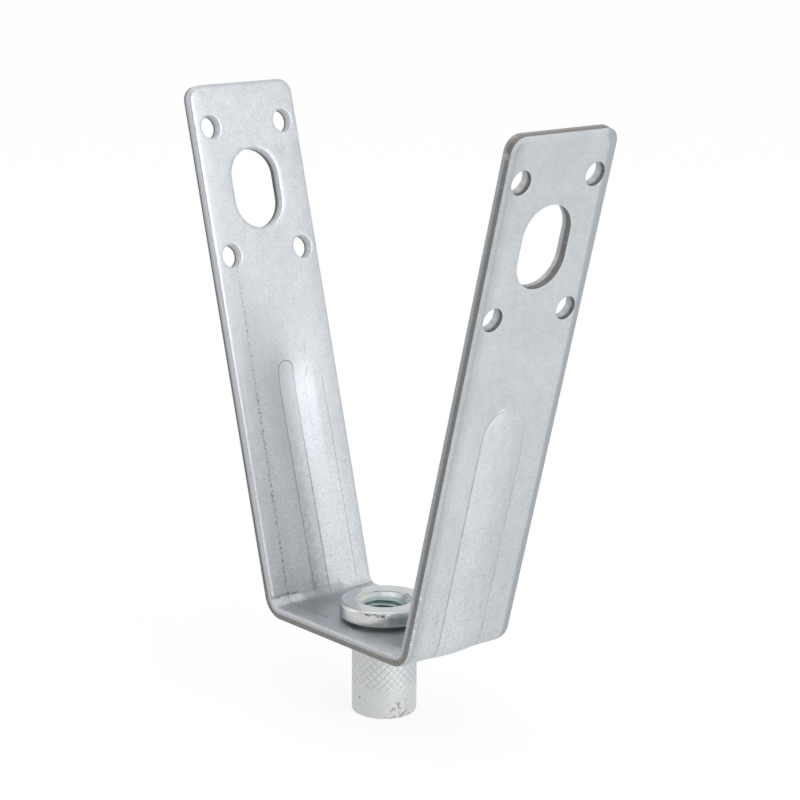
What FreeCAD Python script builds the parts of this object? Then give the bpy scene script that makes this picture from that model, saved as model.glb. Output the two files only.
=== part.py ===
"""Roofing sheet hanger: a folded steel strip that a turning threaded sleeve hangs in.

The frame: Z up, origin on the sleeve's axis in the underside of the strip's flat
middle. X runs from leg to leg and Y across the strip. All sizes in millimetres.
"""
import FreeCAD, Part
import math
import os
import Sketcher

SIZES = {
    # Folded strip
    "sheet_thickness": 3.0,
    "strip_width": 30.0,
    "base_width": 45.0,            # inside, from fold to fold
    "leg_lean": 14.8,              # degrees from upright
    "leg_length": 123.0,           # inside, from the fold to the top edge
    "inner_bend_radius": 2.0,
    "outer_bend_radius": 6.0,      # the press thins the fold from outside
    "corner_radius": 3.5,
    "edge_roll": 0.4,              # the inner rim, drawn down by the shear
    # Holes in each leg
    "screw_hole_diameter": 5.4,
    "screw_hole_spacing": 21.0,    # across the strip
    "screw_hole_rise": 30.5,       # along the leg
    "slot_width": 13.5,
    "slot_height": 19.0,
    "hole_group_height": 97.75,    # from the fold to the slot's centre
    # Rib pressed outward in each leg and over its fold
    "rib_top": 54.0,               # from the fold to the centre of the round end
    "rib_width": 12.6,
    "rib_rise": 1.0,
    "rib_rise_at_fold": 0.35,
    "groove_width": 16.0,
    "groove_floor_width": 4.6,
    # Threaded sleeve and the hole that it turns in
    "sleeve_hole_diameter": 14.8,
    "neck_clearance": 0.1,
    "flange_diameter": 21.0,
    "flange_thickness": 3.8,
    "flange_gap": 0.7,             # over the strip's upper face
    "flange_bevel": 0.7,
    "barrel_diameter": 15.1,
    "barrel_drop": 19.5,           # below the strip's underside
    "shoulder_gap": 0.2,           # under the strip's underside
    "barrel_bevel": 0.7,
    "thread_core_diameter": 8.5,
    "countersink_diameter": 12.3,
    "thread_relief": 0.75,         # bevel at the lower mouth of the thread
}

FOLD = "((90 - Sizes.leg_lean) * 1 deg)"
HALF_FOLD = "((90 - Sizes.leg_lean) / 2 * 1 deg)"
LEAN = "(Sizes.leg_lean * 1 deg)"
DOWNWARD = "(90 * 1 deg)"
HALF_TURN = "(180 * 1 deg)"
WHOLE_TURN = "(360 * 1 deg)"

# The axes that the two sides of each fold are rolled about
OUTER_AXIS_X = f"(Sizes.base_width / 2 + (Sizes.sheet_thickness - Sizes.outer_bend_radius) * tan({HALF_FOLD}))"
OUTER_AXIS_Z = "Sizes.outer_bend_radius"
OUTER_AXIS_RISE = f"((Sizes.outer_bend_radius - Sizes.sheet_thickness) * tan({HALF_FOLD}))"
INNER_AXIS_X = f"(Sizes.base_width / 2 - Sizes.inner_bend_radius * tan({HALF_FOLD}))"
INNER_AXIS_Z = "(Sizes.sheet_thickness + Sizes.inner_bend_radius)"
INNER_AXIS_RISE = f"(Sizes.inner_bend_radius * tan({HALF_FOLD}))"

RIB_ROOT = "(Sizes.sheet_thickness / 3)"       # how far the rib's stock reaches into the wall
GROOVE_LEAD = "(Sizes.inner_bend_radius / 4)"  # how far the groove's cutter starts outside the wall

doc = FreeCAD.newDocument("roofing_sheet_hanger")


def make_sheet():
    sheet = doc.addObject("Spreadsheet::Sheet", "Sizes")
    for row, (alias, value) in enumerate(SIZES.items(), start=1):
        sheet.set(f"A{row}", alias.replace("_", " "))
        sheet.set(f"B{row}", str(value))
        sheet.setAlias(f"B{row}", alias)
    doc.recompute()
    return sheet


def value_of(owner, text):
    """The plain number that an expression of the sheet's sizes comes to."""
    found = owner.evalExpression(text)
    return float(getattr(found, "Value", found))


def origin_plane(body, role):
    for feature in body.Origin.OriginFeatures:
        if feature.Role == role:
            return feature
    raise ValueError(role)


def new_sketch(body, name, role, base=("0", "0", "0"), axis=None, angle=None):
    """A sketch on one of a body's origin planes, shifted and turned by expressions."""
    sketch = body.newObject("Sketcher::SketchObject", name)
    sketch.AttachmentSupport = [(origin_plane(body, role), "")]
    sketch.MapMode = "FlatFace"
    if axis:
        sketch.AttachmentOffset = FreeCAD.Placement(FreeCAD.Vector(), FreeCAD.Rotation(axis, 1))
        sketch.setExpression("AttachmentOffset.Rotation.Angle", angle)
    for letter, text in zip("xyz", base):
        if text != "0":
            sketch.setExpression(f"AttachmentOffset.Base.{letter}", f"({text}) * 1 mm")
    return sketch


def dimension(sketch, name, text, kind, *where):
    """Add a named dimension and bind it to the sheet."""
    value = value_of(sketch, text)
    if kind == "Angle":
        value = math.radians(value)
    number = sketch.addConstraint(Sketcher.Constraint(kind, *where, value))
    sketch.renameConstraint(number, name)
    sketch.setExpression(f"Constraints.{name}", text)


def pin(sketch, name, edge, vertex, x_text, y_text):
    """Hold a point of the sketch at two expressions, on an axis where one is zero."""
    for kind, text, axis in (("DistanceX", x_text, -2), ("DistanceY", y_text, -1)):
        if text == "0":
            sketch.addConstraint(Sketcher.Constraint("PointOnObject", edge, vertex, axis))
        else:
            dimension(sketch, f"{name}_{kind[-1].lower()}", text, kind, -1, 1, edge, vertex)


def end_at(sketch, edge, point):
    """The number, 1 or 2, of the end of an edge that lies at a point."""
    start = sketch.getPoint(edge, 1)
    return 1 if start.distanceToPoint(point) < 1e-6 else 2


def draw_outline(sketch, corners, arcs=None, smooth=()):
    """Draw a closed outline and join its edges, in line with each other where smooth.

    corners are pairs of expressions, and arcs gives an edge its centre and radius.
    """
    arcs = arcs or {}
    points = [FreeCAD.Vector(value_of(sketch, x), value_of(sketch, y), 0) for x, y in corners]
    count = len(points)
    for edge, start in enumerate(points):
        end = points[(edge + 1) % count]
        if edge in arcs:
            x_text, y_text, radius_text = arcs[edge]
            centre = FreeCAD.Vector(value_of(sketch, x_text), value_of(sketch, y_text), 0)
            to_middle = (start + end) * 0.5 - centre
            middle = centre + to_middle.normalize() * value_of(sketch, radius_text)
            sketch.addGeometry(Part.Arc(start, middle, end), False)
        else:
            sketch.addGeometry(Part.LineSegment(start, end), False)
    for edge in range(count):
        following = (edge + 1) % count
        shared = points[following]
        kind = "Tangent" if edge in smooth else "Coincident"
        ends = (edge, end_at(sketch, edge, shared), following, end_at(sketch, following, shared))
        sketch.addConstraint(Sketcher.Constraint(kind, *ends))
    for edge, (x_text, y_text, radius_text) in arcs.items():
        dimension(sketch, f"radius_{edge}", radius_text, "Radius", edge)
    return points


def pinned_outline(sketch, corners, arcs=None):
    """A closed outline whose every corner is held by two expressions."""
    points = draw_outline(sketch, corners, arcs)
    for edge, (x_text, y_text) in enumerate(corners):
        pin(sketch, f"corner_{edge}", edge, end_at(sketch, edge, points[edge]), x_text, y_text)


def turned(body, kind, name, sketch, axis, angle, backwards=False):
    """A revolution or groove of a sketch about one of the sketch's own axes."""
    feature = body.newObject(f"PartDesign::{kind}", name)
    feature.Profile = sketch
    feature.ReferenceAxis = (sketch, [axis])
    feature.Reversed = backwards
    feature.setExpression("Angle", angle)
    return feature


def lofted(body, kind, name, first, last):
    feature = body.newObject(f"PartDesign::{kind}", name)
    feature.Profile = first
    feature.Sections = [last]
    feature.Ruled = True
    return feature


def make_half_profile(body):
    """One half of the folded strip, seen along Y: base, fold and leg."""
    leg_x = f"Sizes.leg_length * sin({LEAN})"
    leg_z = f"Sizes.leg_length * cos({LEAN})"
    outer_corner = f"(Sizes.base_width / 2 + Sizes.sheet_thickness * tan({HALF_FOLD}))"
    outer_cut = f"Sizes.outer_bend_radius * tan({HALF_FOLD})"
    corners = [
        ("0", "0"),
        (OUTER_AXIS_X, "0"),
        (f"{outer_corner} + {outer_cut} * sin({LEAN})", f"{outer_cut} * cos({LEAN})"),
        (f"Sizes.base_width / 2 + {leg_x} + Sizes.sheet_thickness * cos({LEAN})",
         f"Sizes.sheet_thickness + {leg_z} - Sizes.sheet_thickness * sin({LEAN})"),
        (f"Sizes.base_width / 2 + {leg_x}", f"Sizes.sheet_thickness + {leg_z}"),
        (f"Sizes.base_width / 2 + {INNER_AXIS_RISE} * sin({LEAN})",
         f"Sizes.sheet_thickness + {INNER_AXIS_RISE} * cos({LEAN})"),
        (INNER_AXIS_X, "Sizes.sheet_thickness"),
        ("0", "Sizes.sheet_thickness"),
    ]
    arcs = {
        1: (OUTER_AXIS_X, OUTER_AXIS_Z, "Sizes.outer_bend_radius"),
        5: (INNER_AXIS_X, INNER_AXIS_Z, "Sizes.inner_bend_radius"),
    }
    sketch = new_sketch(body, "half_profile", "XZ_Plane")
    draw_outline(sketch, corners, arcs, smooth=(0, 1, 4, 5))
    base, fold_out, leg_out, top, leg_in, fold_in, floor, middle_line = range(8)
    fold_point = sketch.addGeometry(Part.Point(FreeCAD.Vector(
        value_of(sketch, "Sizes.base_width / 2"), value_of(sketch, "Sizes.sheet_thickness"), 0)), True)
    sketch.addConstraint([
        Sketcher.Constraint("Coincident", base, 1, -1, 1),
        Sketcher.Constraint("Horizontal", base),
        Sketcher.Constraint("Horizontal", floor),
        Sketcher.Constraint("Vertical", middle_line),
        Sketcher.Constraint("Parallel", leg_out, leg_in),
        Sketcher.Constraint("Perpendicular", top, leg_in),
        Sketcher.Constraint("PointOnObject", fold_point, 1, floor),
        Sketcher.Constraint("PointOnObject", fold_point, 1, leg_in),
    ])
    dimension(sketch, "base_wall", "Sizes.sheet_thickness", "DistanceY", -1, 1, floor, 2)
    dimension(sketch, "leg_wall", "Sizes.sheet_thickness", "Distance", top)
    dimension(sketch, "half_base", "Sizes.base_width / 2", "DistanceX", -1, 1, fold_point, 1)
    dimension(sketch, "leg", "Sizes.leg_length", "Distance", fold_point, 1, leg_in, 1)
    dimension(sketch, "fold", FOLD, "Angle", leg_out)
    return sketch


def make_half_strip(body):
    """The plain half strip, with its top corners rounded and its inner rim broken."""
    pad = body.newObject("PartDesign::Pad", "half_strip")
    pad.Profile = make_half_profile(body)
    pad.SideType = "Symmetric"
    pad.setExpression("Length", "Sizes.strip_width")
    doc.recompute()

    corners = body.newObject("PartDesign::Fillet", "top_corners")
    corners.Base = (pad, edges_where(pad.Shape, is_top_corner))
    corners.setExpression("Radius", "Sizes.corner_radius")
    doc.recompute()

    rim = body.newObject("PartDesign::Chamfer", "rolled_rim")
    rim.Base = (corners, edges_where(corners.Shape, is_inner_rim))
    rim.setExpression("Size", "Sizes.edge_roll")
    doc.recompute()


def edges_where(shape, test):
    return [f"Edge{number}" for number, edge in enumerate(shape.Edges, start=1) if test(edge)]


def middle_of(edge):
    return edge.valueAt((edge.FirstParameter + edge.LastParameter) / 2)


def leg_place(point):
    """A point's height along the leg's inner face and its depth behind that face."""
    lean = math.radians(size["leg_lean"])
    run = point.x - size["base_width"] / 2
    rise = point.z - size["sheet_thickness"]
    height = run * math.sin(lean) + rise * math.cos(lean)
    depth = run * math.cos(lean) - rise * math.sin(lean)
    return height, depth


def is_top_corner(edge):
    """The short edges through the wall at the two ends of the leg's top."""
    height, depth = leg_place(middle_of(edge))
    across = abs(middle_of(edge).y) > size["strip_width"] / 2 - 1e-4
    return across and abs(height - size["leg_length"]) < 1e-4


def is_inner_rim(edge):
    """The edges round the inner face, apart from the one on the mirror plane."""
    point = middle_of(edge)
    if point.x < 1e-4:
        return False
    height, depth = leg_place(point)
    at_side = abs(point.y) > size["strip_width"] / 2 - 1e-4
    at_top = height > size["leg_length"] - size["corner_radius"]
    on_leg = abs(depth) < 1e-4
    on_floor = abs(point.z - size["sheet_thickness"]) < 1e-4
    axis_x = value_of(sheet, INNER_AXIS_X)
    axis_z = value_of(sheet, INNER_AXIS_Z)
    radius = math.hypot(point.x - axis_x, point.z - axis_z)
    on_fold = abs(radius - size["inner_bend_radius"]) < 1e-4 and height < size["inner_bend_radius"]
    return (on_leg and (at_side or at_top)) or (at_side and (on_floor or on_fold))


def make_leg_holes(body):
    """Four screw holes round an upright slot, through the leg at right angles to it."""
    sketch = new_sketch(body, "leg_holes", "YZ_Plane", ("0", "Sizes.sheet_thickness", "Sizes.base_width / 2"),
                        FreeCAD.Vector(1, 0, 0), LEAN)
    straight = "((Sizes.slot_height - Sizes.slot_width) / 2)"
    half_width = "(Sizes.slot_width / 2)"
    above = f"(Sizes.hole_group_height + {straight})"
    below = f"(Sizes.hole_group_height - {straight})"
    corners = [(half_width, below), (half_width, above), (f"-{half_width}", above), (f"-{half_width}", below)]
    arcs = {1: ("0", above, half_width), 3: ("0", below, half_width)}
    # A half circle's chord passes through its centre, so the slot's ends are drawn by their crowns
    points = [FreeCAD.Vector(value_of(sketch, x), value_of(sketch, y), 0) for x, y in corners]
    crown = FreeCAD.Vector(0, value_of(sketch, half_width), 0)
    sketch.addGeometry([
        Part.LineSegment(points[0], points[1]),
        Part.Arc(points[1], (points[1] + points[2]) * 0.5 + crown, points[2]),
        Part.LineSegment(points[2], points[3]),
        Part.Arc(points[3], (points[3] + points[0]) * 0.5 - crown, points[0]),
    ], False)
    for edge in range(4):
        following = (edge + 1) % 4
        shared = points[following]
        ends = (edge, end_at(sketch, edge, shared), following, end_at(sketch, following, shared))
        sketch.addConstraint(Sketcher.Constraint("Tangent", *ends))
    sketch.addConstraint(Sketcher.Constraint("Vertical", 0))
    dimension(sketch, "slot_end", half_width, "Radius", 1)
    pin(sketch, "upper_end", 1, 3, "0", above)
    pin(sketch, "lower_end", 3, 3, "0", below)

    half_spacing = "(Sizes.screw_hole_spacing / 2)"
    half_rise = "(Sizes.screw_hole_rise / 2)"
    radius = value_of(sketch, "Sizes.screw_hole_diameter / 2")
    for side in ("-", ""):
        for level in ("-", "+"):
            x_text = f"{side}{half_spacing}"
            y_text = f"Sizes.hole_group_height {level} {half_rise}"
            centre = FreeCAD.Vector(value_of(sketch, x_text), value_of(sketch, y_text), 0)
            hole = sketch.addGeometry(Part.Circle(centre, FreeCAD.Vector(0, 0, 1), radius), False)
            dimension(sketch, f"hole_{hole}", "Sizes.screw_hole_diameter", "Diameter", hole)
            pin(sketch, f"hole_{hole}", hole, 3, x_text, y_text)

    pocket = body.newObject("PartDesign::Pocket", "leg_openings")
    pocket.Profile = sketch
    pocket.Reversed = True
    pocket.setExpression("Length", "Sizes.sheet_thickness * 2")
    doc.recompute()


def leg_station(name_x, name_z, shift):
    """Where a section stands: a fold's axis, moved up along the leg by a shift."""
    return (f"{name_x} + {shift} * sin({LEAN})", "0", f"{name_z} + {shift} * cos({LEAN})")


def rib_sketch(body, name, station, angle, rise, half):
    """The rib's section, a flat arc on the wall's outer face, or one half of it."""
    face = "Sizes.outer_bend_radius"
    root = f"({face} - {RIB_ROOT})"
    edge = "(Sizes.rib_width / 2)"
    radius = f"(({edge}^2 + {rise}^2) / (2 * {rise}))"
    centre = f"({face} + {rise} - {radius})"
    sketch = new_sketch(body, name, "XY_Plane", station, FreeCAD.Vector(0, 1, 0), angle)
    if half:
        corners = [(root, "0"), (f"({face} + {rise})", "0"), (face, edge), (root, edge)]
    else:
        corners = [(root, f"-{edge}"), (face, f"-{edge}"), (face, edge), (root, edge)]
    pinned_outline(sketch, corners, {1: (centre, "0", radius)})
    return sketch


def groove_sketch(body, name, station, angle, rise, half):
    """The groove's section, a flat floor between two slopes, or one half of it."""
    face = "Sizes.inner_bend_radius"
    lead = f"({face} - {GROOVE_LEAD})"
    floor = f"({face} + {rise})"
    edge = "(Sizes.groove_width / 2)"
    floor_edge = "(Sizes.groove_floor_width / 2)"
    sketch = new_sketch(body, name, "XY_Plane", station, FreeCAD.Vector(0, 1, 0), angle)
    upper = [(floor, floor_edge), (face, edge), (lead, edge)]
    if half:
        corners = [(lead, "0"), (floor, "0")] + upper
    else:
        corners = [(lead, f"-{edge}"), (face, f"-{edge}"), (floor, f"-{floor_edge}")] + upper
    pinned_outline(sketch, corners)
    return sketch


def press_feature(body, word, section, kinds, axis_x, axis_z, axis_rise):
    """A rib or groove: round end, tapering run down the leg, over the fold, round end."""
    loft, turn = kinds
    high = leg_station(axis_x, axis_z, f"(Sizes.rib_top - {axis_rise})")
    low = leg_station(axis_x, axis_z, "0")
    crest = "Sizes.rib_rise"
    foot = "Sizes.rib_rise_at_fold"
    upper = section(body, f"{word}_upper", high, LEAN, crest, False)
    lower = section(body, f"{word}_lower", low, LEAN, foot, False)
    lofted(body, loft, f"{word}_run", upper, lower)
    end_half = section(body, f"{word}_end_half", high, LEAN, crest, True)
    turned(body, turn, f"{word}_end", end_half, "H_Axis", HALF_TURN)
    fold_section = section(body, f"{word}_fold_section", low, LEAN, foot, False)
    turned(body, turn, f"{word}_fold", fold_section, "V_Axis", FOLD)
    foot_half = section(body, f"{word}_foot_half", low, DOWNWARD, foot, True)
    turned(body, turn, f"{word}_foot", foot_half, "H_Axis", HALF_TURN, backwards=True)
    doc.recompute()


def make_bracket():
    body = doc.addObject("PartDesign::Body", "v_bracket")
    make_half_strip(body)
    make_leg_holes(body)
    press_feature(body, "rib", rib_sketch, ("AdditiveLoft", "Revolution"),
                  OUTER_AXIS_X, OUTER_AXIS_Z, OUTER_AXIS_RISE)
    press_feature(body, "groove", groove_sketch, ("SubtractiveLoft", "Groove"),
                  INNER_AXIS_X, INNER_AXIS_Z, INNER_AXIS_RISE)

    both = body.newObject("PartDesign::Mirrored", "both_legs")
    both.TransformMode = "Whole shape"
    both.MirrorPlane = (origin_plane(body, "YZ_Plane"), [""])
    body.Tip = both
    doc.recompute()

    hole = new_sketch(body, "sleeve_hole", "XY_Plane")
    radius = value_of(hole, "Sizes.sleeve_hole_diameter / 2")
    circle = hole.addGeometry(Part.Circle(FreeCAD.Vector(), FreeCAD.Vector(0, 0, 1), radius), False)
    hole.addConstraint(Sketcher.Constraint("Coincident", circle, 3, -1, 1))
    dimension(hole, "hole", "Sizes.sleeve_hole_diameter", "Diameter", circle)
    pocket = body.newObject("PartDesign::Pocket", "sleeve_opening")
    pocket.Profile = hole
    pocket.Reversed = True
    pocket.setExpression("Length", "Sizes.sheet_thickness")
    doc.recompute()
    return body


def make_sleeve():
    """The turned sleeve: flange over the strip, neck in its hole, barrel below."""
    body = doc.addObject("PartDesign::Body", "threaded_sleeve")
    core = "(Sizes.thread_core_diameter / 2)"
    sink = "(Sizes.countersink_diameter / 2)"
    neck = "(Sizes.sleeve_hole_diameter / 2 - Sizes.neck_clearance)"
    barrel = "(Sizes.barrel_diameter / 2)"
    barrel_in = f"({barrel} - Sizes.barrel_bevel)"
    flange = "(Sizes.flange_diameter / 2)"
    flange_in = f"({flange} - Sizes.flange_bevel)"
    under = "(Sizes.sheet_thickness + Sizes.flange_gap)"
    top = f"({under} + Sizes.flange_thickness)"
    bottom = "(-Sizes.barrel_drop)"
    corners = [
        (core, f"{bottom} + Sizes.thread_relief"),
        (core, f"{top} - ({sink} - {core})"),
        (sink, top),
        (flange_in, top),
        (flange, f"{top} - Sizes.flange_bevel"),
        (flange, f"{under} + Sizes.flange_bevel"),
        (flange_in, under),
        (neck, under),
        (neck, "-Sizes.shoulder_gap"),
        (barrel, "-Sizes.shoulder_gap"),
        (barrel, f"{bottom} + Sizes.barrel_bevel"),
        (barrel_in, bottom),
        (f"{core} + Sizes.thread_relief", bottom),
    ]
    sketch = new_sketch(body, "sleeve_section", "XZ_Plane")
    pinned_outline(sketch, corners)
    turned(body, "Revolution", "sleeve_turning", sketch, "V_Axis", WHOLE_TURN)
    doc.recompute()
    return body


def check_document():
    for item in doc.Objects:
        if "Invalid" in item.State or "Error" in item.State:
            raise RuntimeError(f"{item.Name}: {item.getStatusString()}")


def write_parts(bodies):
    os.makedirs("parts", exist_ok=True)
    for body in bodies:
        shape = body.Shape
        if shape.isNull() or not shape.isValid() or len(shape.Solids) != 1:
            raise RuntimeError(f"{body.Label} is not one valid solid")
        shape.exportStep(os.path.join("parts", f"{body.Label}.step"))
        box = shape.BoundBox
        print(f"{body.Label}: {shape.Volume / 1000:.2f} cm3, "
              f"{box.XLength:.2f} x {box.YLength:.2f} x {box.ZLength:.2f} mm, {len(shape.Faces)} faces")


sheet = make_sheet()
size = {alias: float(sheet.get(alias)) for alias in SIZES}
bodies = [make_bracket(), make_sleeve()]
check_document()
write_parts(bodies)
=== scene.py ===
"""Looks of a roofing sheet hanger: a folded galvanised strip and the sleeve turning in it.

The strip is drawn flat, as a net with its holes, and folded onto its place. Sizes are in
millimetres until the meshes are made, in the same frame as the solids.
"""
import math

import bpy
import numpy as np
from mathutils import Matrix, Vector
from mathutils.geometry import delaunay_2d_cdt


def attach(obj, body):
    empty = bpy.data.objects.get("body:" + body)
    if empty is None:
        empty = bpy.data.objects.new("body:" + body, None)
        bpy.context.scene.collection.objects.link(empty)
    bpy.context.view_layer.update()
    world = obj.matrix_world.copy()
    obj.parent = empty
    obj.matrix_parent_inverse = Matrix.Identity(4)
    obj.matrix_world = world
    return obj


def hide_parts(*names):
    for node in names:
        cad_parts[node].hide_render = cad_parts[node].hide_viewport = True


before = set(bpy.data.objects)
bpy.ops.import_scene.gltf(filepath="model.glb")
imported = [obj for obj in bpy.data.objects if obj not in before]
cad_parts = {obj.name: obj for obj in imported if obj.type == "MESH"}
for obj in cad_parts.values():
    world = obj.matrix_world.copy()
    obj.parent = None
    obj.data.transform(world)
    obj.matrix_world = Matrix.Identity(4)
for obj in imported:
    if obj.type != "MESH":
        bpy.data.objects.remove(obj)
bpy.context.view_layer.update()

MM = 0.001

# The folded strip
THICKNESS = 3.0
HALF_WIDTH = 15.0
HALF_BASE = 22.5
LEAN = math.radians(14.8)
LEG = 123.0
INNER_BEND = 2.0
OUTER_BEND = 6.0
CORNER = 3.5
FOLD = math.pi / 2 - LEAN
HALF_TAN = math.tan(FOLD / 2)
INNER_AXIS_X = HALF_BASE - INNER_BEND * HALF_TAN
OUTER_AXIS_X = HALF_BASE + (THICKNESS - OUTER_BEND) * HALF_TAN

# The strip laid flat: s runs along it from the middle, u across it
FOLD_START = 20.5
FOLD_LENGTH = 4.0 * FOLD
LEG_START = FOLD_START + FOLD_LENGTH
INNER_LEG_V = INNER_BEND * HALF_TAN
OUTER_LEG_V = (OUTER_BEND - THICKNESS) * HALF_TAN
MIDDLE_LEG_V = (INNER_LEG_V + OUTER_LEG_V) / 2
EVEN_OUT = 25.0  # the leg's length over which both faces come level
BASE_EVEN = 9.0  # from here the net stretches to meet the fold
HALF_STRIP = LEG_START + LEG - MIDDLE_LEG_V

SCREW_HOLE = 2.7
SCREW_ACROSS = 10.5
SCREW_ALONG = 15.25
GROUP_V = 97.75
SLOT_RADIUS = 6.75
SLOT_STRAIGHT = 2.75
SLEEVE_HOLE = 7.4

RIB_TOP_V = 54.0
RIB_HALF = 6.3
RIB_RISE = 1.0
RIB_FOOT_RISE = 0.35
GROOVE_HALF = 8.0
GROOVE_FLOOR = 2.3

# The sheared rim: drawn down on the inner face, coined on the outer one
RIM_STEPS = [0.0, 0.03, 0.1, 0.2, 0.34, 0.52, 0.74, 0.98, 1.25]
HOLE_STEPS = [0.0, 0.02, 0.08, 0.2, 0.4, 0.65, 0.95]
ROLL_WIDTH = 0.95
ROLL_DEPTH = 0.45
DROOP_WIDTH = 4.2  # the inner face leans over a little before the roll
DROOP_DEPTH = 0.18
COIN_WIDTH = 1.15
COIN_DEPTH = 0.24
SLOT_ROLL_WIDTH = 1.1
SLOT_ROLL_DEPTH = 0.3
SCREW_ROLL_WIDTH = 0.6
SCREW_ROLL_DEPTH = 0.12
GROOVE_BLEND = 1.4  # how fast the groove's slopes ease out into the leg
GROOVE_RUN_OUT = 12.0  # the length over which the groove's top end fades
RIDGE_SOFT = 0.03
RIDGE_REACH = 1.5  # the ridge's foot stays soft this far past its outline
COIN_CURVE = 1.3
HOLE_COIN_DEPTH = 0.09

# The share of the wall's thickness that tore, from the outer face: by place along the outline, and at holes
TORN_ALONG = (-140.0, -40.0, -22.0, 17.0, 21.5, 26.5, 36.0)
TORN_SHARES = (0.2, 0.36, 0.56, 0.56, 0.72, 0.72, 0.57)
TORN_SLOT_LEFT = 0.14
TORN_SLOT_FAR = 0.42
TORN_SLOT_RIGHT = 0.6
TORN_SCREW_LEFT = 0.17
TORN_SCREW_RIGHT = 0.38
TORN_ROUGH = 0.012  # how uneven the torn part of the outline is

# The net: rows along the strip, points on its loops, and columns from its middle line
ROWS = (15, 25, 44, 46)  # in half the base, the fold, the leg beside the rib, and above it
CORNER_POINTS, END_POINTS = 9, 20
SCREW_POINTS, SLOT_POINTS, SLOT_SIDE_POINTS, SLEEVE_POINTS = 44, 72, 12, 96
INNER_COLUMNS = [0.8, 1.6, 2.15, 2.3, 2.4, 2.7, 3.2, 4.0, 5.0, 6.0, 7.0, 8.0, 9.0, 10.2, 11.4, 12.4, 13.3]
OUTER_COLUMNS = [0.9, 1.9, 2.9, 3.9, 4.9, 5.7, 6.12, 6.3, 6.5, 7.2, 8.2, 9.3, 10.4, 11.6, 12.9]
FAN_TURNS = 20  # the columns turn round the rib's ends as fans
FOOT_FAN = 9.5
LOOP_CLEAR = 0.3  # loose points stay this far from the loops
TINY = 1e-6
ON_LOOP = 0.015  # nearer than this, a point belongs to a loop
OFF_LOOP = 0.02
HOLE_INSET = 0.7  # how rough a hole's wall is beside the outline's
FAR_FROM_RIB = 20.0

# The sleeve
FLANGE_TOP = 7.5
FLANGE_UNDER = 3.7
FLANGE_RADIUS = 10.5
NECK_RADIUS = 7.3
BARREL_RADIUS = 7.55
BARREL_TOP = -0.2
FLANGE_TURNS, BORE_TURNS = 192, 96
BARREL_FOOT = -19.5
KNURL_END = -12.6
KNURL_STARTS = 25
KNURL_POINTS = 18  # points round the barrel from one line to the next
KNURL_UNEVEN = 0.7  # how far the lines' ends differ
KNURL_DEPTH = 0.07
KNURL_CUT = 0.17  # half the width of a cut
KNURL_FADE = 0.8  # the length over which a cut runs out
THREAD_MINOR = 4.25
THREAD_MAJOR = 5.0
THREAD_PITCH = 1.5
THREAD_STEEP = 1.35  # how steep the thread's flanks are, and how flat its grooves
THREAD_FLAT = 0.12
THREAD_ROWS = 12  # rows up each turn
SINK_RADIUS = 6.15
LIP_ROUND = 0.42
SHOULDER_ROUND = 1.05
UNDER_ROUND = 0.6
FOOT_ROUND = 0.85
SHARP_EDGE = math.radians(38)
MOUTH_RADIUS = SINK_RADIUS - 0.1
MOUTH_TOP = FLANGE_TOP - LIP_ROUND - 0.04

FLOOR_WHITE = 0.85  # the share of the floor that is plain white; the rest takes the shadow
FLOOR_DIM = 0.8  # the floor mirrored away from the key light's side
KEY_SIDE = math.radians(8.0)
ROOM_BRIGHT = 0.85
ROOM_DARK = 0.5
ROOM_DARK_SIDE = (0.76, -0.65, 0.0)

# Lights: name, place, size and power
LIGHTS = (
    ("key", (1.1, -0.05, 0.38), (1.1, 0.9), 7.0),
    ("top_box", (-0.15, -0.1, 1.3), (1.0, 1.0), 1.2),
    ("left_box", (-0.9, -1.0, 0.55), (0.7, 0.9), 0.8),
)

# The photograph's view: its angles, distance and lens come from matching the outlines
CAMERA_AZIMUTH = math.radians(49.370)
CAMERA_ELEVATION = math.radians(13.748)
CAMERA_ROLL = math.radians(0.411)
CAMERA_TARGET = (4.938, 0.0, 55.622)
CAMERA_DISTANCE = 535.672
CAMERA_SENSOR = 36.0
CAMERA_LENS = 107.22

# Colours of the strip's faces
INSIDE_DULL = (0.54, 0.566, 0.592, 1)
INSIDE_LIGHT = (0.735, 0.771, 0.805, 1)
OUTSIDE_DULL = (0.505, 0.538, 0.557, 1)
OUTSIDE_LIGHT = (0.69, 0.731, 0.754, 1)
MOTTLE_DIM = 0.72
GROOVE_DIRT_AND_SHADE = (0.30, 0.292, 0.278, 1)
STREAK_GREY = (0.31, 0.32, 0.33, 1)
MARKS_AND_SHADE_DARK = (0.17, 0.185, 0.205, 1)
PRESSED_HIGHLIGHT = (0.86, 0.88, 0.92, 1)
FOLD_DULL = (0.31, 0.31, 0.305, 1)
MIDDLE_SHADE = (0.265, 0.30, 0.31, 1)
ROLL_DULL_LOW = (0.50, 0.52, 0.54, 1)
ROLL_HIGHLIGHT = (0.84, 0.84, 0.835, 1)
ROLL_BLUISH = (0.40, 0.47, 0.54, 1)
SCRATCH_LIGHT = (0.92, 0.94, 0.98, 1)
CREASE_SHADE_AND_MARKS = (0.21, 0.235, 0.27, 1)
SHEAR_LINE = (0.36, 0.40, 0.475, 1)
SHEAR_BAND = (0.345, 0.375, 0.405, 1)
CHIPS_AND_HIGHLIGHT = (0.88, 0.89, 0.90, 1)

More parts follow.
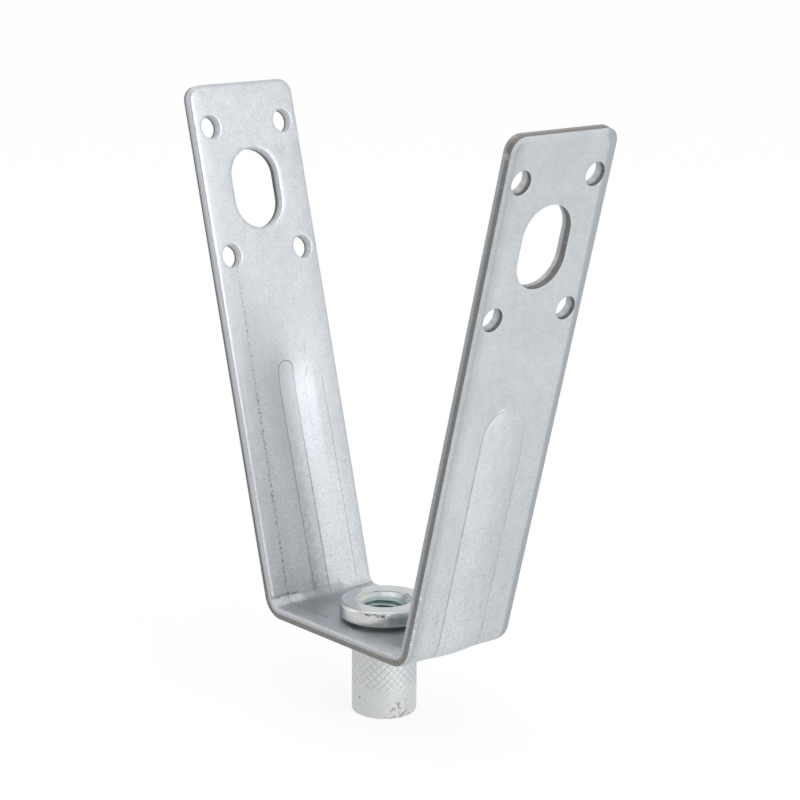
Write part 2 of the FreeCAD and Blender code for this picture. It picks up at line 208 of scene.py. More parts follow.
# Colours of the cut edge, by leg: its drawn and its torn part
BRIGHT_MIDDLE = (0.505, 0.515, 0.532, 1)
BRIGHT_RIGHT = (0.375, 0.395, 0.415, 1)
BRIGHT_LEFT = (0.48, 0.505, 0.535, 1)
BRIGHT_RIGHT_HOLE = (0.46, 0.475, 0.495, 1)
DULL_MIDDLE = (0.30, 0.287, 0.275, 1)
DULL_RIGHT = (0.255, 0.252, 0.253, 1)
DULL_LEFT = (0.25, 0.25, 0.257, 1)
DULL_HOLE = (0.19, 0.187, 0.184, 1)
DULL_RIGHT_HOLE = (0.24, 0.235, 0.232, 1)
TORN_BROWN = (0.20, 0.165, 0.135, 1)
LIP_LIGHT = (0.50, 0.53, 0.57, 1)
RUST = (0.235, 0.21, 0.20, 1)
NICK_LIGHT = (0.50, 0.50, 0.50, 1)
END_DULL = (0.36, 0.34, 0.32, 1)

# Colours of the sleeve, and the roughness of its barrel and flange
PLATE_COOL = (0.64, 0.675, 0.695, 1)
PLATE_WARM = (0.715, 0.715, 0.69, 1)
PLATE_PATCH = (0.58, 0.61, 0.62, 1)
KNURL_CUT_SHADE = (0.34, 0.37, 0.37, 1)
PLATE_TOP = (0.50, 0.53, 0.53, 1)
PLATE_WORN = (0.17, 0.175, 0.175, 1)
PLATE_INSIDE_SHADE = (0.42, 0.51, 0.51, 1)
FLECK_DARK = (0.15, 0.16, 0.18, 1)
BARREL_ROUGH = (0.34, 0.34, 0.34, 1)
FLANGE_ROUGH = (0.17, 0.17, 0.17, 1)

# Thin lines up the inner face: lower and upper end, side at each, half width and strength
LEG_LINES = (
    (1.5, 51.0, 10.6, 10.0, 0.035, 0.6),
    (38.0, 51.0, 4.9, 4.9, 0.05, 0.16),
    (51.5, 54.0, 5.2, 6.3, 0.12, 0.26),
    (57.0, 60.0, 6.2, 6.4, 0.1, 0.18),
)
SCUFF_TOP_V = 81.0
# Painted shadow lines in the creases at the fold: place along the strip, half width, side where they begin
# and strength
CREASE_SHADOWS = ((LEG_START + 0.2, 0.16, -7.2, 0.7), (FOLD_START + 1.2, 0.3, 6.8, 0.55))
# Nicks on the flange's shoulder by colour, the white ones painted glints: degrees round the axis, height and
# radius in millimetres
NICKS_AND_GLINTS = (
    ((0.07, 0.075, 0.08, 1), (
        (-64.5, 6.75, 0.30), (-61.5, 6.62, 0.34), (-59.0, 6.58, 0.2), (-73.0, 7.2, 0.14),
        (-43.5, 6.55, 0.5), (-52.5, 7.05, 0.16))),
    ((0.20, 0.15, 0.09, 1), ((-50.5, 6.55, 0.3), (-47.5, 6.45, 0.3), (-40.8, 6.5, 0.35))),
    ((0.97, 0.98, 1.0, 1), (
        (-66.5, 7.05, 0.16), (-49.0, 7.1, 0.2), (-45.5, 7.0, 0.26), (-43.0, 6.95, 0.22), (-40.0, 6.75, 0.2),
        (-36.5, 7.05, 0.22), (-33.5, 7.1, 0.18), (-30.0, 7.05, 0.14), (-27.5, 7.15, 0.2), (-43.0, 5.9, 0.2))),
)
NICK_JITTER = 0.6
# Spots in metres: middle, radius of the full colour, and the width over which it fades
RUSTY_CORNER = ((0.0558, -0.0146, 0.1196), 0.0014, 0.0016)
END_NICK = ((0.0545, -0.0150, 0.1173), 0.0005, 0.0004)
WORN_SIDE = ((0.0074, -0.0014, -0.0176), 0.0010, 0.0036)
FLECK = ((0.00014, -0.00754, -0.0149), 0.00022, 0.00025)


def leg_v(s, inner):
    """Height up the leg from the fold's inner corner, for a flat distance past the fold."""
    w = s - LEG_START
    spread = (OUTER_LEG_V - INNER_LEG_V) / 2 * np.clip(1 - w / EVEN_OUT, 0, 1) ** 2
    return w + MIDDLE_LEG_V + (-spread if inner else spread)


def s_of_v(v):
    return LEG_START + v - MIDDLE_LEG_V


RIB_TOP_S = s_of_v(RIB_TOP_V)
GROUP_S = s_of_v(GROUP_V)


def folded(s, inner):
    """Place and outward direction, in X and Z, of points on one face of the strip."""
    side = np.where(s < 0, -1.0, 1.0)
    s = np.abs(s)
    axis_x, axis_z, radius = (INNER_AXIS_X, THICKNESS + INNER_BEND, INNER_BEND) if inner else (
        OUTER_AXIS_X, OUTER_BEND, OUTER_BEND)
    toward = -1.0 if inner else 1.0

    stretch = np.clip((s - BASE_EVEN) / (FOLD_START - BASE_EVEN), 0, 1) ** 2
    turn = (s - FOLD_START) / (LEG_START - FOLD_START) * FOLD
    v = leg_v(s, inner)
    wall = 0.0 if inner else THICKNESS
    up_x, up_z = math.sin(LEAN), math.cos(LEAN)
    # In the base, up the leg, and in the fold between them
    parts = [s <= FOLD_START, s >= LEG_START]
    x = np.select(parts, [s + (axis_x - FOLD_START) * stretch, HALF_BASE + v * up_x + wall * up_z],
                  axis_x + radius * np.sin(turn))
    z = np.select(parts, [THICKNESS if inner else 0.0, THICKNESS + v * up_z - wall * up_x],
                  axis_z - radius * np.cos(turn))
    nx = np.select(parts, [0.0, toward * up_z], toward * np.sin(turn))
    nz = np.select(parts, [-toward, -toward * up_x], -toward * np.cos(turn))
    return side * x, z, side * nx, nz


def soft_positive(x, width):
    return 0.5 * (x + np.sqrt(x * x + width * width))


def rim_distance(s, u):
    """Distance inward from the strip's outline."""
    qx = np.abs(s) - (HALF_STRIP - CORNER)
    qy = np.abs(u) - (HALF_WIDTH - CORNER)
    outside = np.hypot(np.maximum(qx, 0), np.maximum(qy, 0))
    return CORNER - outside - np.minimum(np.maximum(qx, qy), 0)


def screw_distance(s, u):
    """Distance outward from the nearest screw hole's wall."""
    a = np.abs(s)
    best = np.full_like(a, np.inf)
    for along in (-SCREW_ALONG, SCREW_ALONG):
        for across in (-SCREW_ACROSS, SCREW_ACROSS):
            best = np.minimum(best, np.hypot(a - GROUP_S - along, u - across) - SCREW_HOLE)
    return best


def slot_distance(s, u):
    """Distance outward from the wall of the nearest slot, or of the sleeve's hole."""
    a = np.abs(s)
    reach = np.clip(a - GROUP_S, -SLOT_STRAIGHT, SLOT_STRAIGHT)
    return np.minimum(np.hypot(a - GROUP_S - reach, u) - SLOT_RADIUS, np.hypot(s, u) - SLEEVE_HOLE)


def hole_distance(s, u):
    return np.minimum(screw_distance(s, u), slot_distance(s, u))


def quarter_round(share):
    """How deep a rounded edge has sunk, from 0 where it begins to 1 at the wall."""
    return 1 - np.sqrt(1 - share ** 2)


def rib_distance(s, u):
    """Distance from the middle line of the rib, which runs from the base up the leg."""
    a = np.abs(s)
    return np.hypot(a - np.clip(a, FOLD_START, RIB_TOP_S), u)


def rib_rise(s):
    along = np.clip((np.abs(s) - LEG_START) / (RIB_TOP_S - LEG_START), 0, 1)
    return RIB_FOOT_RISE + (RIB_RISE - RIB_FOOT_RISE) * along


def relief(s, u, inner):
    """How far a face stands out of its plain place."""
    d = rib_distance(s, u)
    rise = rib_rise(s)
    from_rim = rim_distance(s, u)
    rim = np.clip(1 - from_rim / (ROLL_WIDTH if inner else COIN_WIDTH), 0, 1)
    slot = np.clip(1 - slot_distance(s, u) / SLOT_ROLL_WIDTH, 0, 1)
    screw = np.clip(1 - screw_distance(s, u) / SCREW_ROLL_WIDTH, 0, 1)
    if inner:
        share = np.clip((GROOVE_HALF - d) / (GROOVE_HALF - GROOVE_FLOOR), 0, 1)
        fade = np.clip((RIB_TOP_S + GROOVE_RUN_OUT / 2 - np.abs(s)) / GROOVE_RUN_OUT, 0, 1)
        press = -rise * share ** GROOVE_BLEND * fade ** 2 * (3 - 2 * fade)
        droop = np.clip(1 - from_rim / DROOP_WIDTH, 0, 1)
        rolled = ROLL_DEPTH * quarter_round(rim) + DROOP_DEPTH * droop ** 2
        rolled = rolled + SLOT_ROLL_DEPTH * quarter_round(slot) + SCREW_ROLL_DEPTH * quarter_round(screw)
    else:
        press = soft_positive(rise * (1 - (d / RIB_HALF) ** 2), RIDGE_SOFT) * (d < RIB_HALF + RIDGE_REACH)
        rolled = COIN_DEPTH * rim ** COIN_CURVE + HOLE_COIN_DEPTH * (slot ** 2 + screw ** 2)
    return press - rolled


def face_points(s, u, inner):
    x, z, nx, nz = folded(s, inner)
    out = relief(s, u, inner)
    return np.stack([x + nx * out, u, z + nz * out], axis=1)


def face_normals(s, u, inner):
    """The faces' true normals, from the slopes along the strip and across it."""
    step = 0.01
    ahead = face_points(s + step, u, inner) - face_points(s - step, u, inner)
    across = face_points(s, u + step, inner) - face_points(s, u - step, inner)
    normal = np.cross(ahead, across) if inner else np.cross(across, ahead)
    return normal / np.linalg.norm(normal, axis=1)[:, None]


def circle_loop(cs, cu, radius, count):
    t = np.arange(count) / count * math.tau
    return cs + radius * np.cos(t), cu + radius * np.sin(t)


def slot_loop(cs, radius, count):
    """A slot's outline with its ends up and down the leg."""
    half = count // 2
    t = (np.arange(half + 1) / half - 0.5) * math.pi
    down = np.linspace(SLOT_STRAIGHT, -SLOT_STRAIGHT, SLOT_SIDE_POINTS)[1:-1]
    side = np.full(len(down), radius)
    s = np.concatenate([SLOT_STRAIGHT + radius * np.cos(t), down, -SLOT_STRAIGHT - radius * np.cos(t), -down])
    u = np.concatenate([radius * np.sin(t), side, -radius * np.sin(t), -side])
    return cs + s, u


def stations():
    """The rows of the net, along the whole strip."""
    ends = (0, FOLD_START, LEG_START, RIB_TOP_S, HALF_STRIP - CORNER)
    parts = [np.linspace(low, high, rows)[1:] for low, high, rows in zip(ends, ends[1:], ROWS)]
    half = np.concatenate([[0]] + parts)
    return np.concatenate([-half[:0:-1], half])


def outline_loop(step, along):
    """The strip's outline, moved inward by a step."""
    half_s = HALF_STRIP - step
    half_u = HALF_WIDTH - step
    radius = CORNER - step
    across = np.linspace(-(HALF_WIDTH - CORNER), HALF_WIDTH - CORNER, END_POINTS)
    quarter = np.linspace(0, math.pi / 2, CORNER_POINTS + 1)[1:-1]
    rise, run = radius * np.sin(quarter), radius * np.cos(quarter)
    s = np.concatenate([along, half_s - radius + rise, np.full(len(across), half_s), half_s - radius + run])
    u = np.concatenate([np.full(len(along), -half_u), radius - half_u - run, across, half_u - radius + rise])
    return np.concatenate([s, -s]), np.concatenate([u, -u])


def strip_net(columns):
    """Points of one face laid flat, with the loops of its outline and holes first."""
    along = stations()
    loops = []
    extra = []

    def add(steps, loop_at):
        for step in steps:
            (loops if step == 0 else extra).append(loop_at(step))

    add(RIM_STEPS, lambda step: outline_loop(step, along))
    for sign in (-1, 1):
        for a in (-SCREW_ALONG, SCREW_ALONG):
            for b in (-SCREW_ACROSS, SCREW_ACROSS):
                middle = sign * (GROUP_S + a)
                add(HOLE_STEPS, lambda step: circle_loop(middle, b, SCREW_HOLE + step, SCREW_POINTS))
        add(HOLE_STEPS, lambda step: slot_loop(sign * GROUP_S, SLOT_RADIUS + step, SLOT_POINTS))
    add(HOLE_STEPS, lambda step: circle_loop(0, 0, SLEEVE_HOLE + step, SLEEVE_POINTS))

    grid_s, grid_u = (grid.ravel() for grid in np.meshgrid(along, columns, indexing="ij"))
    a = np.abs(grid_s)
    reach = columns.max()
    past_top = (a > RIB_TOP_S + TINY) & (np.hypot(a - RIB_TOP_S, grid_u) < reach + 0.5)
    past_foot = (a < FOLD_START - TINY) & (np.hypot(a - FOLD_START, grid_u) < FOOT_FAN + 0.4)
    keep = ~(past_top | past_foot)
    turns = np.arange(1, FAN_TURNS) / FAN_TURNS * math.pi
    radii = columns[columns > 0]
    fans = []
    for sign in (-1, 1):
        for middle, way, rings in ((RIB_TOP_S, 1, radii), (FOLD_START, -1, radii[radii < FOOT_FAN])):
            fans.append([(sign * (middle + way * r * math.sin(t)), r * math.cos(t))
                         for r in rings for t in turns])
        fans.append([(sign * (RIB_TOP_S + reach + 1.2), u) for u in (-3.0, 0.0, 3.0)])
    fans = np.concatenate(fans)
    inside_s = np.concatenate([grid_s[keep], fans[:, 0]])
    inside_u = np.concatenate([grid_u[keep], fans[:, 1]])
    clear = (rim_distance(inside_s, inside_u) > RIM_STEPS[-1] + LOOP_CLEAR) & (
        hole_distance(inside_s, inside_u) > HOLE_STEPS[-1] + LOOP_CLEAR)
    inside_s, inside_u = inside_s[clear], inside_u[clear]

    points = []
    rings = []
    for s, u in loops:
        start = len(points)
        points.extend(zip(s, u))
        rings.append(list(range(start, start + len(s))))
    for s, u in extra:
        ok = (rim_distance(s, u) > OFF_LOOP) & (hole_distance(s, u) > OFF_LOOP)
        points.extend(zip(s[ok], u[ok]))
    points.extend(zip(inside_s, inside_u))
    return np.array(points), rings


def triangulated(points, rings):
    """Triangles over the net, without its holes, and the new place of each input point."""
    edges = []
    for ring in rings:
        edges.extend(zip(ring, ring[1:] + ring[:1]))
    merge_distance = 1e-5
    no_area = 1e-7
    found = delaunay_2d_cdt([Vector(p) for p in points], edges, [], 0, merge_distance, True)
    flat = np.array([tuple(p) for p in found[0]])
    faces = np.array([tuple(f) for f in found[2]], dtype=int)
    s, u = flat[faces].mean(axis=1).T
    faces = faces[(rim_distance(s, u) > 0) & (hole_distance(s, u) > 0)]
    a, b, c = (flat[faces[:, k]] for k in range(3))
    b, c = b - a, c - a
    area = b[:, 0] * c[:, 1] - b[:, 1] * c[:, 0]
    faces, area = faces[np.abs(area) > no_area], area[np.abs(area) > no_area]
    faces[area < 0] = faces[area < 0][:, ::-1]
    where = {}
    for new, olds in enumerate(found[3]):
        for old in olds:
            where[old] = new
    return flat, faces, where


# Rows of a wall as shares of its bright part, then of its torn part, each with its inset
BRIGHT_ROWS = [(0.0, 0.0), (0.1, 0.01), (0.35, 0.0), (0.7, 0.0), (0.96, 0.01)]
TORN_ROWS = [(0.08, 0.07), (0.3, 0.09), (0.55, 0.09), (0.8, 0.06), (0.95, 0.03), (1.0, 0.0)]


def torn_share(s, u, ring):
    """How much of the wall tore, at points of the outline, a slot or a round hole."""
    if ring == 0:
        return np.interp(s, TORN_ALONG, TORN_SHARES)
    right = s > 0
    if np.ptp(s) < 2.2 * SCREW_HOLE:
        return np.where(right, TORN_SCREW_RIGHT, TORN_SCREW_LEFT)
    far_side = np.clip(u / SLOT_RADIUS, 0, 1)
    return np.where(right, TORN_SLOT_RIGHT, TORN_SLOT_LEFT + (TORN_SLOT_FAR - TORN_SLOT_LEFT) * far_side)


def in_scene(name, data):
    thing = bpy.data.objects.new(name, data)
    bpy.context.scene.collection.objects.link(thing)
    return thing


def make_mesh(name, points, faces, materials, uv, values, normals=None):
    mesh = bpy.data.meshes.new(name)
    mesh.from_pydata([tuple(p) for p in points * MM], [], faces)
    layer = mesh.uv_layers.new(name="strip")
    corners = np.empty(len(mesh.loops), dtype=np.int32)
    mesh.loops.foreach_get("vertex_index", corners)
    layer.data.foreach_set("uv", uv[corners].astype(np.float32).ravel())
    for key, numbers in values.items():
        attribute = mesh.attributes.new(key, "FLOAT", "POINT")
        attribute.data.foreach_set("value", numbers.astype(np.float32))
    mesh.polygons.foreach_set("material_index", np.array(materials, dtype=np.int32))
    mesh.shade_smooth()
    mesh.update()
    if normals is not None:
        mesh.normals_split_custom_set_from_vertices([tuple(n) for n in normals])
    return mesh


def build_bracket():
    points, normals, uv, rib, rim, faces, materials = [], [], [], [], [], [], []
    count = 0
    rims = []
    for inner, half_columns in ((True, INNER_COLUMNS), (False, OUTER_COLUMNS)):
        columns = np.array([-c for c in half_columns[::-1]] + [0.0] + half_columns)
        net, rings = strip_net(columns)
        flat, triangles, where = triangulated(net, rings)
        s, u = flat.T
        # Looking at the inner face from the middle of the V, s and u turn the way of its outward side
        order = triangles if inner else triangles[:, ::-1]
        faces.extend((order + count).tolist())
        materials.extend([0 if inner else 1] * len(order))
        points.append(face_points(s, u, inner))
        on_loop = np.minimum(rim_distance(s, u), hole_distance(s, u)) < ON_LOOP
        normals.append(np.where(on_loop[:, None], 0.0, face_normals(s, u, inner)))
        uv.append(flat)
        rib.append(rib_distance(s, u))
        rim.append(rim_distance(s, u))
        rims.append([[where[i] + count for i in ring] for ring in rings])
        count += len(flat)

    placed = np.concatenate(points)
    flat = np.concatenate(uv)
    rng = np.random.default_rng(7)
    for number, (ring_in, ring_out) in enumerate(zip(*rims)):
        size = len(ring_in)
        a = placed[ring_in]
        ahead = np.roll(a, -1, axis=0) - np.roll(a, 1, axis=0)
        through = placed[ring_out] - a
        outward = np.cross(ahead, through)
        outward /= np.linalg.norm(outward, axis=1)[:, None]
        flat_ring = flat[ring_in]
        if number == 0:
            facing_out = outward[0] @ np.array([0.0, np.sign(flat_ring[0, 1]), 0.0]) > 0
        else:
            facing_out = outward[0] @ (a[0] - a.mean(axis=0)) < 0
        if not facing_out:
            outward = -outward
        torn = torn_share(flat_ring[:, 0], flat_ring[:, 1], number)
        scale = 1.0 if number == 0 else HOLE_INSET
        first = count
        rows = [((1 - torn) * share, inset, 0.0) for share, inset in BRIGHT_ROWS]
        rows += [(1 - torn + torn * share, inset, 1.0) for share, inset in TORN_ROWS]
        for share, inset, in_torn in rows:
            rough = rng.normal(0, 1, size)
            rough = (rough + np.roll(rough, 1) + np.roll(rough, -1)) / 3
            inset = scale * inset + (TORN_ROUGH * rough if in_torn and inset > 0 else 0.0)
            inset = np.broadcast_to(inset, size)
            points.append(a + through * share[:, None] - outward * inset[:, None])
            normals.append(np.zeros((size, 3)))
            uv.append(np.stack([flat_ring[:, 0] + flat_ring[:, 1], share + torn - 1], axis=1))
            rib.append(np.full(size, FAR_FROM_RIB))
            rim.append(share)
            count += size
        turn_way = (np.cross(ahead[0], through[0]) @ outward[0]) > 0
        for row in range(len(rows) - 1):
            low = first + row * size
            high = low + size
            for k in range(size):
                n = (k + 1) % size
                quad = (low + k, low + n, high + n, high + k)
                faces.append(quad if turn_way else quad[::-1])
                materials.append(2)
    values = {"rib": np.concatenate(rib), "rim": np.concatenate(rim)}
    mesh = make_mesh("folded_strip", np.concatenate(points), faces, materials, np.concatenate(uv), values,
                     np.concatenate(normals))
    return in_scene("folded_strip", mesh)


def turned_rows(rows, count, start):
    """Rings round the Z axis from rows of radius and height, each a number or an array."""
    t = np.arange(count) / count * math.tau
    points, faces = [], []
    for radius, height in rows:
        r = np.broadcast_to(radius, count)
        h = np.broadcast_to(height, count)
        points.append(np.stack([r * np.cos(t), r * np.sin(t), h], axis=1))
    for row in range(len(rows) - 1):
        low = start + row * count
        high = low + count
        ring = np.arange(count)
        after = (ring + 1) % count
        faces.append(np.stack([low + ring, high + ring, high + after, low + after], axis=1))
    return np.concatenate(points), np.concatenate(faces)


def arc(cx, cz, radius, begin, end, count):
    return [(cx + radius * math.cos(math.radians(t)), cz + radius * math.sin(math.radians(t)))
            for t in np.linspace(begin, end, count)]


def knurled(count, height, ends):
    """The barrel's radius at one height and the depth of its cuts, from 0 to 1."""
    t = np.arange(count) / count
    pitch = math.tau * BARREL_RADIUS / KNURL_STARTS
    depth = np.zeros(count)
    for way in (-1, 1):
        line = t * KNURL_STARTS + way * height / pitch
        nearest = np.round(line)
        gap = np.abs(line - nearest) * pitch / math.sqrt(2)
        end = KNURL_END + ends[way][nearest.astype(int) % KNURL_STARTS]
        fade = np.clip((height - end) / KNURL_FADE, 0, 1)
        depth = np.maximum(depth, np.clip(1 - gap / KNURL_CUT, 0, 1) * fade)
    return BARREL_RADIUS - KNURL_DEPTH * depth, depth


def threaded(count, height):
    """The bore's radius at one height, with its countersink and lower bevel."""
    t = np.arange(count) / count
    phase = (height / THREAD_PITCH - t) % 1.0
    tooth = np.clip((0.5 - np.abs(phase - 0.5)) * 2 * THREAD_STEEP - THREAD_FLAT, 0, 1)
    groove = THREAD_MAJOR - (THREAD_MAJOR - THREAD_MINOR) * tooth
    sink = MOUTH_RADIUS - (MOUTH_TOP - height)
    bevel = THREAD_MAJOR - (height - BARREL_FOOT)
    return np.maximum(groove, max(sink, bevel))


def build_sleeve():
    parts, faces, cuts, count = [], [], [], 0

    def add(rows, turns, cut=None):
        nonlocal count
        points, quads = turned_rows(rows, turns, count)
        parts.append(points)
        faces.extend(quads.tolist())
        cuts.append(np.zeros(len(points)) if cut is None else cut)
        count += len(points)

    # Countersink's lip, flat top, rounded flange, underside and neck
    shoulder, under, foot = SHOULDER_ROUND, UNDER_ROUND, FOOT_ROUND
    flange = [(MOUTH_RADIUS, MOUTH_TOP)]
    flange += arc(SINK_RADIUS + LIP_ROUND, FLANGE_TOP - LIP_ROUND, LIP_ROUND, 180, 90, 8)
    flange += [(SINK_RADIUS + 0.8, FLANGE_TOP), (8.4, FLANGE_TOP), (FLANGE_RADIUS - 1.3, FLANGE_TOP)]
    flange += arc(FLANGE_RADIUS - shoulder, FLANGE_TOP - shoulder, shoulder, 90, 8, 12)
    flange += [(FLANGE_RADIUS, FLANGE_TOP - 1.3), (FLANGE_RADIUS, FLANGE_UNDER + 0.85)]
    flange += arc(FLANGE_RADIUS - under, FLANGE_UNDER + under, under, -8, -90, 8)
    flange += [(FLANGE_RADIUS - 1.2, FLANGE_UNDER), (NECK_RADIUS, FLANGE_UNDER), (NECK_RADIUS, BARREL_TOP)]
    add(flange[::-1], FLANGE_TURNS)

    rng = np.random.default_rng(11)
    ends = {way: rng.uniform(-KNURL_UNEVEN, KNURL_UNEVEN, KNURL_STARTS) for way in (-1, 1)}
    turns = KNURL_STARTS * KNURL_POINTS
    step = math.tau * BARREL_RADIUS / turns
    barrel = [(NECK_RADIUS, BARREL_TOP), (BARREL_RADIUS - 0.1, BARREL_TOP)]
    cut = [np.zeros(turns), np.zeros(turns)]
    height = BARREL_TOP - 0.12
    while height > KNURL_END - 0.9:
        radius, depth = knurled(turns, height, ends)
        barrel.append((radius, height))
        cut.append(depth)
        height -= step
    barrel += [(BARREL_RADIUS, height - 0.3), (BARREL_RADIUS, -16.0), (BARREL_RADIUS, BARREL_FOOT + 1.1)]
    barrel += arc(BARREL_RADIUS - foot, BARREL_FOOT + foot, foot, -4, -90, 10)
    barrel += [(THREAD_MAJOR + 0.5, BARREL_FOOT), (THREAD_MAJOR, BARREL_FOOT)]
    cut += [np.zeros(turns)] * (len(barrel) - len(cut))
    add(barrel[::-1], turns, np.concatenate(cut[::-1]))

    heights = np.arange(BARREL_FOOT, MOUTH_TOP - 0.01, THREAD_PITCH / THREAD_ROWS)
    add([(threaded(BORE_TURNS, h), h) for h in heights] + [(MOUTH_RADIUS, MOUTH_TOP)], BORE_TURNS)
    points = np.concatenate(parts)
    faces = np.array(faces)
    bore_from = len(faces) - len(heights) * BORE_TURNS
    faces[bore_from:] = faces[bore_from:][:, ::-1]
    uv = np.stack([np.arctan2(points[:, 1], points[:, 0]), points[:, 2]], axis=1)
    values = {"cut": np.concatenate(cuts)}
    mesh = make_mesh("turned_sleeve", points, faces.tolist(), [0] * len(faces), uv, values)
    mesh.set_sharp_from_angle(angle=SHARP_EDGE)
    return in_scene("turned_sleeve", mesh)


class Nodes:
    """A short way to write the nodes of a material or of the world."""

    def __init__(self, name, world=None):
        self.material = world or bpy.data.materials.new(name)
        self.material.use_nodes = True
        self.tree = self.material.node_tree
        self.tree.nodes.clear()
        self.output = "ShaderNodeOutputWorld" if world else "ShaderNodeOutputMaterial"
        self.color = None

    def new(self, kind, inputs=None, **settings):
        """A node with its settings, and with values or links for its inputs, by number or name."""
        node = self.tree.nodes.new(kind)
        for key, value in settings.items():
            setattr(node, key, value)
        for key, value in (inputs or {}).items():
            if isinstance(value, bpy.types.NodeSocket):
                self.tree.links.new(value, node.inputs[key])
            else:
                node.inputs[key].default_value = value
        return node

    def math(self, operation, *values):
        return self.new("ShaderNodeMath", dict(enumerate(values)), operation=operation).outputs[0]

    def joined(self, operation, values):
        result = values[0]
        for value in values[1:]:
            result = self.math(operation, result, value)
        return result

    def add(self, *values):
        return self.joined("ADD", values)

    def product(self, *values):
        return self.joined("MULTIPLY", values)

    def either(self, *values):
        return self.joined("MAXIMUM", values)

    def minus(self, first, second):
        return self.math("SUBTRACT", first, second)

    def total(self, *terms):
        """The sum of values, each times its share."""
        return self.add(*(self.product(value, share) for value, share in terms))

    def parts(self, vector):
        return self.new("ShaderNodeSeparateXYZ", {0: vector}).outputs

    def vectors(self, operation, first, second):
        return self.new("ShaderNodeVectorMath", {0: first, 1: second}, operation=operation).outputs["Value"]

    def ramp(self, value, low, high, to_low=0.0, to_high=1.0, smooth=True):
        inputs = dict(enumerate((value, low, high, to_low, to_high)))
        kind = "SMOOTHSTEP" if smooth else "LINEAR"
        return self.new("ShaderNodeMapRange", inputs, interpolation_type=kind).outputs["Result"]

    def line(self, value, place, half, soft):
        """1 on a line where a value passes a place, 0 away from it."""
        return self.ramp(self.math("ABSOLUTE", self.minus(value, place)), half, half + soft, 1.0, 0.0)

    def between(self, value, low, high, soft):
        return self.product(self.ramp(value, low - soft, low + soft),
                            self.ramp(value, high - soft, high + soft, 1.0, 0.0))

    def spot(self, place, centre, radius, soft):
        """1 within a radius of a point given in metres, 0 away from it."""
        return self.ramp(self.vectors("DISTANCE", place, centre), radius, radius + soft, 1.0, 0.0)

    def noise(self, vector, scale, detail=3.0, rough=0.55, stretch=None):
        if stretch:
            vector = self.new("ShaderNodeMapping", {"Vector": vector, "Scale": stretch}).outputs[0]
        inputs = {"Vector": vector, "Scale": scale, "Detail": detail, "Roughness": rough}
        return self.new("ShaderNodeTexNoise", inputs).outputs["Fac"]

    def mix(self, share, first, second):
        return self.new("ShaderNodeMix", {0: share, 6: first, 7: second}, data_type="RGBA").outputs[2]

    def scaled(self, color, factor):
        return self.new("ShaderNodeVectorMath", {0: color, "Scale": factor}, operation="SCALE").outputs[0]

    def paint(self, color, *shares):
        """Lays a colour over the metal's, as strong as the product of the shares."""
        self.color = self.mix(self.product(*shares), self.color, color)

    def shade(self, factor):
        self.color = self.scaled(self.color, factor)

    def end(self, shader):
        self.new(self.output, {"Surface": shader.outputs[0]})

    def blend(self, share, first, second):
        """Ends the tree with a blend of two shaders."""
        self.end(self.new("ShaderNodeMixShader", {0: share, 1: first.outputs[0], 2: second.outputs[0]}))

    def finish(self, rough, height, strength, distance):
        """Ends the tree with a metal whose face is a little uneven."""
        bump = self.new("ShaderNodeBump", {"Strength": strength, "Distance": distance, "Height": height})
        inputs = {"Base Color": self.color, "Roughness": rough, "Metallic": 1.0, "Normal": bump.outputs[0]}
        self.end(self.new("ShaderNodeBsdfPrincipled", inputs))
        return self.material


class StripNodes(Nodes):
    """Nodes of a material on the strip, with the places that its marks go by."""

    def __init__(self, name):
        super().__init__(name)
        self.place = self.new("ShaderNodeTexCoord").outputs["Object"]
        self.strip = self.new("ShaderNodeUVMap", uv_map="strip").outputs[0]
        signed, self.across = self.parts(self.strip)[:2]
        self.along = self.math("ABSOLUTE", signed)
        self.rib = self.new("ShaderNodeAttribute", attribute_name="rib").outputs["Fac"]
        self.rim = self.new("ShaderNodeAttribute", attribute_name="rim").outputs["Fac"]

    def up(self, low, high, to_low=0.0, to_high=1.0, smooth=True):
        """A ramp between two heights up the leg."""
        return self.ramp(self.along, s_of_v(low), s_of_v(high), to_low, to_high, smooth)

    def stretched(self, along, across, detail=3.0, rough=0.7):
        """Noise on the flat strip, finer along it and across it by the two numbers."""
        return self.noise(self.strip, 1.0, detail, rough, stretch=(along, across, 1.0))


def zinc_ground(m, dull, light):
    """Paints satin zinc before its marks; gives the heights of its grain."""
    clouds = m.noise(m.place, 75, 4, 0.6)
    patches = m.noise(m.place, 420, 3, 0.6)
    grain = m.noise(m.place, 2300, 3, 0.7)
    coarse = m.noise(m.place, 1400, 4, 0.75)
    rolled = m.stretched(6, 0.5, rough=0.6)
    low = m.up(0, 75, 1, 0)
    tone = m.total((clouds, 0.2), (patches, 0.2), (grain, 0.4), (rolled, 0.2))
    m.color = m.mix(m.ramp(tone, 0.34, 0.66, smooth=False), dull, light)
    mottle = tuple(MOTTLE_DIM * c for c in dull[:3]) + (1,)
    m.paint(mottle, m.ramp(coarse, 0.42, 0.62), m.ramp(low, 0, 1, 0.12, 0.32))
    height = m.total((grain, 0.7), (patches, 0.8), (rolled, 0.25))
    height = m.add(height, m.product(coarse, m.ramp(low, 0, 1, 0.2, 1.6)))
    return height, clouds, patches, low


